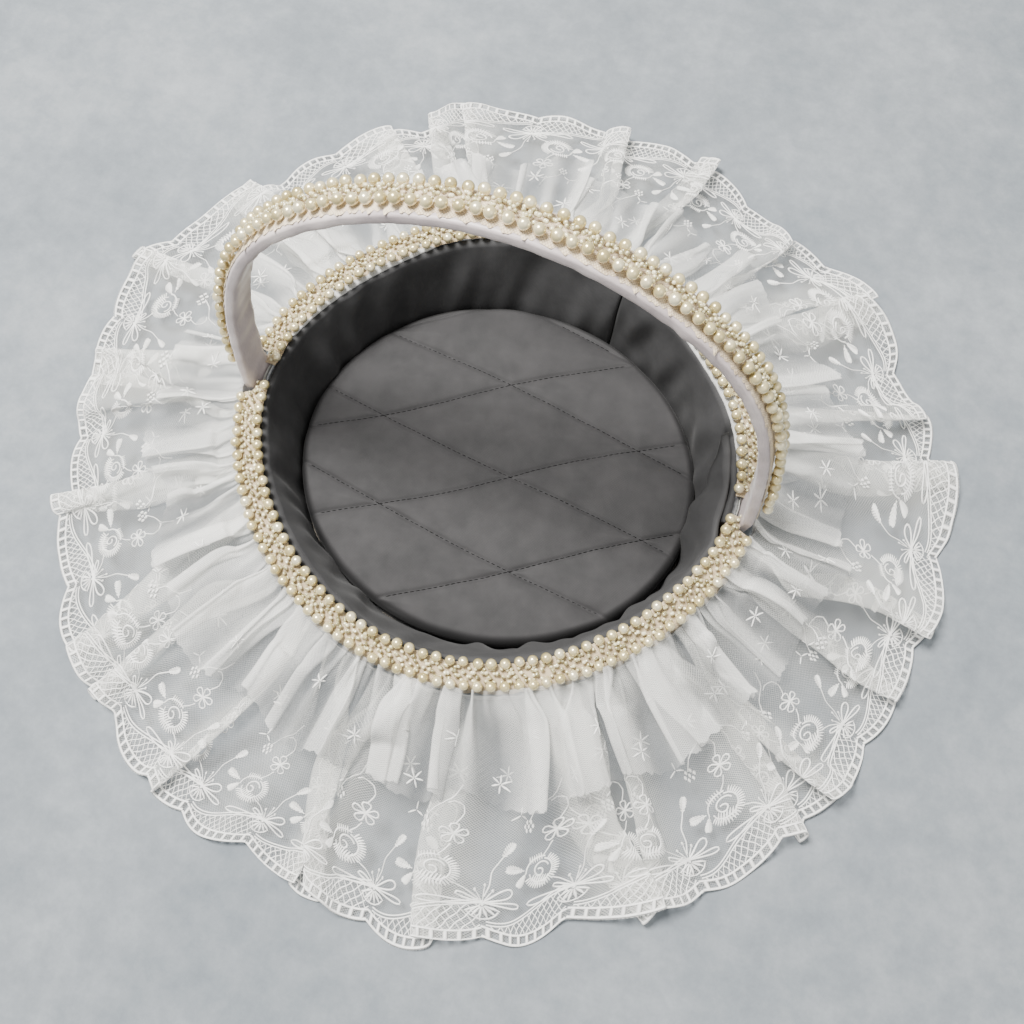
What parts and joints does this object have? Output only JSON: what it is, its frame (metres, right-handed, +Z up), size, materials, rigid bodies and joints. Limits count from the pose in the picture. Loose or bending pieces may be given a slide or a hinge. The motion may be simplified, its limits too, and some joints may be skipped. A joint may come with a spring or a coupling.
{
  "type": "flower girl basket",
  "caption": "Round tapered basket with a padded lining, loose quilted base pad, pearl-trimmed rim and arch handle, and two gathered lace ruffles.",
  "frame": {"origin": "centre of the base board's underside, on the surface that the basket stands on", "axes": "+Z up; +X along the handle's span, from its left end to its right end; +Y to the back, the way the handle leans"},
  "size_m": [0.477, 0.465, 0.2079],
  "materials": {
    "board": "matt, uncoated",
    "lining": "matt woven polyester, padded",
    "quilt": "matt woven polyester, quilted in diamonds",
    "cover": "matt woven cotton",
    "steel": "plain wire and strip",
    "cane": "plain bent cane",
    "satin": "satin weave with a soft sheen",
    "tape": "woven braid tape",
    "pearl": "pearl lacquer, glossy",
    "seed_bead": "small glossy beads",
    "tulle": "sheer soft tulle with small embroidered sprigs",
    "lace": "sheer net with embroidered borders, flowers and bows"
  },
  "bodies": {
    "basket": {"base_board": "board", "wall_shell": "board", "base_lining": "lining", "wall_lining_main": "lining", "wall_lining_side": "lining", "outer_cover": "cover", "rim_wire": "steel", "handle_core": "cane", "handle_wrap": "satin", "handle_trim_tape": "tape", "handle_pearls_front": "pearl", "handle_pearls_back": "pearl", "handle_seed_beads": "seed_bead", "handle_rivet_left_lower": "steel", "handle_rivet_left_upper": "steel", "handle_rivet_right_lower": "steel", "handle_rivet_right_upper": "steel", "rim_tape_front": "tape", "rim_tape_back": "tape", "rim_pearls_inner_front": "pearl", "rim_pearls_inner_back": "pearl", "rim_pearls_outer_front": "pearl", "rim_pearls_outer_back": "pearl", "rim_seed_beads_front": "seed_bead", "rim_seed_beads_back": "seed_bead", "ruffle_heading": "tape", "short_ruffle": "tulle", "long_ruffle": "lace"},
    "pad": {"base_pad": "quilt"}
  },
  "joints": [
    {"name": "pad_lift", "type": "slide", "parent": "basket", "child": "pad", "axis": [0, 0, 1], "range_m": [0, 0.1]}
  ]
}
